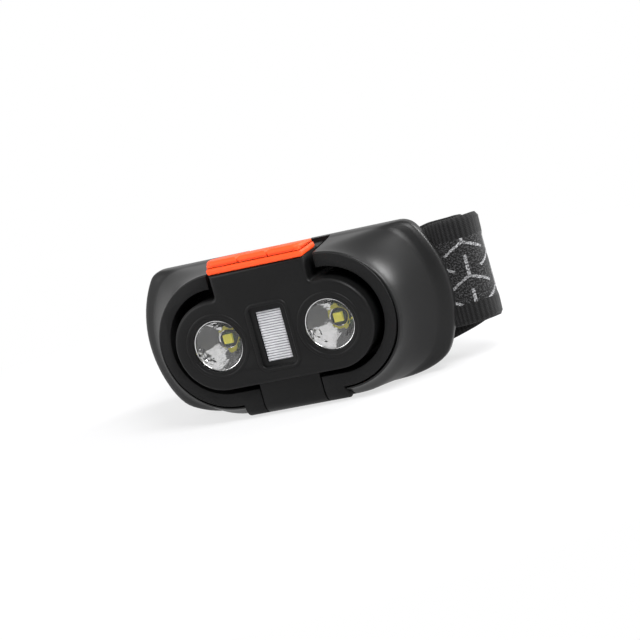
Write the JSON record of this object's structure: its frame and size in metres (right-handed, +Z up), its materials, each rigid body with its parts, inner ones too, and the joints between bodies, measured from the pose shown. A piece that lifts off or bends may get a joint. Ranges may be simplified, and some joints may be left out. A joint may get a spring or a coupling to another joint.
{
  "type": "headlamp",
  "caption": "Tilting headlamp with two spot beams and a flood beam, a rubber keypad, a flared bracket with a forehead pad, and an adjustable elastic headband.",
  "frame": {"origin": "centre of the flat foot under the bracket", "axes": "+X to the right seen from the front, +Y from the lamp's face towards the forehead, +Z up"},
  "size_m": [0.0865, 0.0518, 0.0386],
  "materials": {
    "housing": "fine moulded texture",
    "overmould": "soft-touch satin",
    "seal": "matte",
    "clear_lens": "polished",
    "reflector": "polished",
    "led": "phosphor",
    "flood_lens": "ribbed diffuser",
    "circuit_board": "solder mask",
    "spreader": "satin",
    "screw_steel": "plated",
    "cell_pouch": "foil pouch",
    "switch_black": "plain",
    "orange_rubber": "satin",
    "pad_foam": "mesh over foam",
    "webbing": "jacquard elastic",
    "slider_plastic": "moulded"
  },
  "bodies": {
    "bracket": {"bracket_frame": "housing", "hinge_pin": "screw_steel", "bracket_shell": "overmould", "strap_pin_left": "screw_steel", "strap_pin_right": "screw_steel", "back_plate": "housing", "plate_screws": "screw_steel", "forehead_pad": "pad_foam", "headband": "webbing", "headband_return": "webbing"},
    "lamp_head": {"head_bezel": "housing", "head_shell": "housing", "head_gasket": "seal", "spot_lens_left": "clear_lens", "spot_lens_right": "clear_lens", "spot_reflector_left": "reflector", "spot_reflector_right": "reflector", "spot_led_left": "led", "spot_led_right": "led", "lens_seals": "seal", "flood_lens": "flood_lens", "flood_leds": "led", "led_board": "circuit_board", "heat_spreader": "spreader", "board_screws": "screw_steel", "battery_cell": "cell_pouch", "battery_foam": "seal", "control_board": "circuit_board", "tact_switches": "switch_black", "usb_receptacle": "screw_steel", "head_screws": "screw_steel", "keypad_base": "orange_rubber"},
    "key_left": {"key_left": "orange_rubber"},
    "key_mid": {"key_mid": "orange_rubber"},
    "key_right": {"key_right": "orange_rubber"},
    "port_cover": {"port_cover": "seal"},
    "slider": {"band_slider": "slider_plastic", "headband_tail": "webbing"}
  },
  "joints": [
    {"name": "head_tilt", "type": "hinge", "parent": "bracket", "child": "lamp_head", "pos_m": [0, -0.0073, 0.0036], "axis": [1, 0, 0], "range_deg": [0, 60]},
    {"name": "key_left_press", "type": "slide", "parent": "lamp_head", "child": "key_left", "axis": [0, 0, -1], "range_m": [0, 0.0005], "stiffness_N_per_m": 1500},
    {"name": "key_mid_press", "type": "slide", "parent": "lamp_head", "child": "key_mid", "axis": [0, 0, -1], "range_m": [0, 0.0005], "stiffness_N_per_m": 1500},
    {"name": "key_right_press", "type": "slide", "parent": "lamp_head", "child": "key_right", "axis": [0, 0, -1], "range_m": [0, 0.0005], "stiffness_N_per_m": 1500},
    {"name": "port_cover_hinge", "type": "hinge", "parent": "lamp_head", "child": "port_cover", "pos_m": [0, 0.00305, 0.0318], "axis": [1, 0, 0], "range_deg": [0, 100]},
    {"name": "slider_slide", "type": "slide", "parent": "bracket", "child": "slider", "axis": [1, 0, 0], "range_m": [-0.008, 0.008]}
  ]
}
